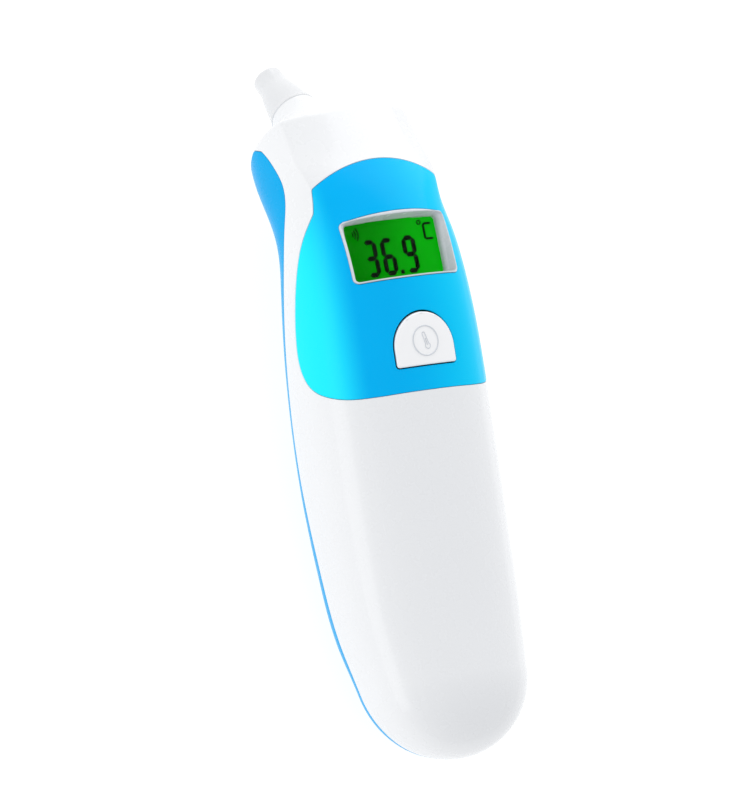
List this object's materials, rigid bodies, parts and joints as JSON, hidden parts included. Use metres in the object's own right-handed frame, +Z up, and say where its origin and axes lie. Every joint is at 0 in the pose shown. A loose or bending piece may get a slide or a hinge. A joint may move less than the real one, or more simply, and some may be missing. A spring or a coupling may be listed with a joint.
{
  "type": "digital ear thermometer",
  "caption": "Handheld infrared ear thermometer: curved handle, backlit display, one button, tapered ear probe at the back of the head, sliding battery door.",
  "frame": {"origin": "centre of the bounding box in X and Y, at the level of the surface that the thermometer lies on", "axes": "+X across the body to the right when the display is read, +Y along the handle towards the head, +Z up from the surface, the side the display faces"},
  "size_m": [0.0444, 0.1568, 0.0401],
  "materials": {
    "white_shell": "satin moulded ABS",
    "blue_shell": "gloss moulded ABS",
    "blue_panel": "gloss moulded ABS",
    "button_white": "satin",
    "bezel_silver": "silver lacquer on moulded plastic",
    "clear_window": "clear",
    "lcd_green": "backlit green",
    "lcd_black": "display marks",
    "probe_white": "smooth",
    "lens_dark": "infrared window",
    "frame_white": "moulded",
    "board_green": "solder mask",
    "chip_black": "moulded",
    "rubber_grey": "soft",
    "light_guide": "frosted",
    "brass": "turned",
    "steel": "nickel plated",
    "wire_red": "insulated wire",
    "cell_jacket": "printed jacket"
  },
  "bodies": {
    "housing": {"front_shell": "white_shell", "rear_shell": "blue_shell", "front_panel": "blue_panel", "display_bezel": "bezel_silver", "display_window": "clear_window", "lcd_glass": "lcd_green", "lcd_frame": "frame_white", "lcd_segments": "lcd_black", "backlight_guide": "light_guide", "backlight_leds": "light_guide", "elastomer_strip": "rubber_grey", "main_board": "board_green", "board_chips": "chip_black", "board_screws": "steel", "buzzer": "brass", "switch_body": "chip_black", "probe_cone": "probe_white", "probe_lens": "lens_dark", "sensor_tube": "brass", "thermopile_can": "steel", "sensor_holder": "brass", "sensor_board": "board_green", "sensor_leads": "wire_red", "battery_tray": "frame_white", "battery_cells": "cell_jacket", "contact_plates": "steel", "contact_springs": "steel", "housing_screws": "steel"},
    "button": {"measure_button": "button_white"},
    "plunger": {"switch_plunger": "rubber_grey"},
    "battery_door": {"battery_door": "blue_shell"}
  },
  "joints": [
    {"name": "button_press", "type": "slide", "parent": "housing", "child": "button", "axis": [0, 0.0499, -0.9988], "range_m": [0, 0.0005], "stiffness_N_per_m": 1500, "springref_m": -0.0003},
    {"name": "plunger_press", "type": "slide", "parent": "housing", "child": "plunger", "axis": [0, 0.0499, -0.9988], "range_m": [0, 0.0005]},
    {"name": "battery_door_slide", "type": "slide", "parent": "housing", "child": "battery_door", "axis": [0, -0.9988, -0.0499], "range_m": [0, 0.065]}
  ],
  "couplings": [
    {"joint": "plunger_press", "follows": "button_press", "ratio": 1}
  ]
}
